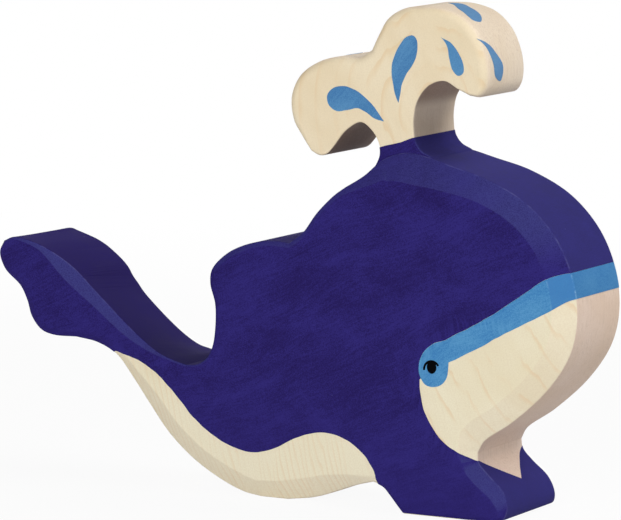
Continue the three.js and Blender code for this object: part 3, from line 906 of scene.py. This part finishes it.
# The band's dust colour is darker than its paint: painted shade on its chamfers and on the head's walls
BAND_BLUE = brushed(
    "band_blue_satin", dark=srgb(60, 124, 182), light=srgb(92, 154, 199), dust_and_painted_light=srgb(66, 122, 179),
    dust_and_light_from=-1.2, worn_and_highlight=srgb(190, 226, 240), rub_and_highlight=0.8, direction=math.radians(-31),
)
DROP_BLUE = brushed(
    "drop_blue_satin", dark=srgb(66, 118, 170), light=srgb(92, 145, 189), dust_and_painted_light=srgb(122, 158, 196),
    dust_and_light_from=0.14, worn_and_highlight=srgb(190, 226, 240), rub_and_highlight=0.8, direction=math.radians(-50),
)
BLACK = black_enamel()

# Pieces
film = combined(whole_whale(COAT_GAP + COAT_FILM), whole_whale(COAT_GAP), "DIFFERENCE")
band_loop = border_loop([BAND_TOP, EYE_RING, BAND_BOTTOM], [])


def painted(cutter, name, material):
    """Finishes the part of the film that lies inside a cutter."""
    finished(combined(copy_of(film), cutter, "INTERSECT"), name, material)


finished(whole_whale(0), "carved_maple_blank", MAPLE)

coat = copy_of(film)
for bare in (
    cutter_through(border_loop([NECK_BORDER], NECK_CORNERS)),
    cutter_through(border_loop([BELLY_BORDER], BELLY_CORNERS)),
    cutter_through(border_loop([JAW_BORDER], JAW_CORNERS)),
    cutter_through(grown_loop(band_loop, BAND_BORDER)),
    prism(np.array(TONGUE, float), *TONGUE_REACH, along_whale),
    cutter_through(np.array(SOLE_CORNERS, float)),
):
    combined(coat, bare, "DIFFERENCE")
finished(coat, "dark_blue_coat", DARK_BLUE)

band = combined(copy_of(film), cutter_through(band_loop), "INTERSECT")
for side in SIDES:
    combined(band, eye_mark(side), "DIFFERENCE")
    painted(eye_mark(side), f"{side}_eye", BLACK)
    for place, points in {"low": LOW_DROP, "high": HIGH_DROP, "side": SIDE_DROP}.items():
        cutter = prism(drop_loop(points), *SIDES[side], through_board)
        painted(cutter, f"{side}_{place}_drop", DROP_BLUE)
finished(band, "light_blue_band", BAND_BLUE)

for name, points, wall, turn in (
    ("edge_drop", EDGE_DROP, EDGE_WALL, along_whale),
    ("crest_drop", CREST_DROP, CREST_TOP, from_above),
    ("lobe_top_drop", LOBE_TOP_DROP, LOBE_TOP, from_above),
):
    cutter = prism(drop_loop(points), wall - DROP_REACH, wall + DROP_REACH, turn)
    painted(cutter, name, DROP_BLUE)
bpy.data.objects.remove(film)

# Floor, in metres
FLOOR_SIZE = 12
FLOOR_COLOR = (0.7, 0.7, 0.7, 1)
FLOOR_ROUGHNESS = 0.9
FLOOR_FADE = (0.25, 0.7)  # distances over which the seen floor turns plain white
FLOOR_GLOW = 0.94  # share of plain white that a camera sees in the floor near the whale


def pale_floor():
    floor = Shader("pale_floor")
    floor.surface(FLOOR_COLOR, FLOOR_ROUGHNESS, 0)
    away = floor.node("ShaderNodeVectorMath", {0: floor.place}, operation="LENGTH").outputs["Value"]
    glow = floor.between(away, *FLOOR_FADE, FLOOR_GLOW, 1)
    white = floor.node("ShaderNodeEmission", {"Strength": 1})
    blend = floor.node("ShaderNodeMixShader", {
        0: floor.product(glow, floor.seen()),
        1: floor.principled.outputs["BSDF"],
        2: white.outputs["Emission"],
    })
    floor.feed(floor.tree.nodes["Material Output"].inputs["Surface"], blend.outputs["Shader"])
    return floor.material


half = FLOOR_SIZE / 2
floor_corners = [(-half, -half, 0), (half, -half, 0), (half, half, 0), (-half, half, 0)]
floor_piece = new_object("floor", floor_corners, [(0, 1, 2, 3)])
floor_piece.data.materials.append(pale_floor())

# Camera and lamps: they look at one point from an azimuth right of the whale's right side
AIM_X = 100
AIM_Z = 70.9
AIM = Vector((AIM_X - MIDDLE, 0, AIM_Z)) * MM
CAMERA_AZIMUTH = 29.47
CAMERA_ELEVATION = 7.59
CAMERA_DISTANCE = 1.3388
CAMERA_LENS = 257.5
CAMERA_SENSOR = 36
LAMP_SIZE = 1.1
# Azimuth and elevation in degrees, distance in metres and power in watts
KEY_LAMP = (8, 14, 1.7, 23.4)
SIDE_LAMP = (108, 48, 1.5, 17.2)
BACK_LAMP = (215, 12, 1.7, 12)
AMBIENT = 0.03


def aimed(data, azimuth, elevation, distance):
    """An object for a camera or a lamp that looks at the whale."""
    turn, rise = math.radians(azimuth), math.radians(elevation)
    back = Vector((math.sin(turn) * math.cos(rise), -math.cos(turn) * math.cos(rise), math.sin(rise)))
    viewer = bpy.data.objects.new(data.name, data)
    viewer.location = AIM + back * distance
    viewer.rotation_euler = back.to_track_quat("Z", "Y").to_euler()
    bpy.context.scene.collection.objects.link(viewer)
    return viewer


def soft_lamp(name, azimuth, elevation, distance, power):
    """A square softbox."""
    light = bpy.data.lights.new(name, "AREA")
    light.size = LAMP_SIZE
    light.energy = power
    return aimed(light, azimuth, elevation, distance)


soft_lamp("key", *KEY_LAMP)
soft_lamp("side", *SIDE_LAMP)
back_lamp = soft_lamp("back", *BACK_LAMP)
back_lamp.visible_glossy = False  # fills without a shine

world = bpy.data.worlds.new("studio")
world.use_nodes = True
bpy.context.scene.world = world
sky = Nodes(world.node_tree)
background = sky.tree.nodes["Background"]
background.inputs["Color"].default_value = (1, 1, 1, 1)
sky.feed(background.inputs["Strength"], sky.between(sky.seen(), 0, 1, AMBIENT, 1))

camera = bpy.data.cameras.new("camera")
camera.sensor_width = CAMERA_SENSOR
camera.lens = CAMERA_LENS
bpy.context.scene.camera = aimed(camera, CAMERA_AZIMUTH, CAMERA_ELEVATION, CAMERA_DISTANCE)
bpy.context.scene.view_settings.view_transform = "Standard"
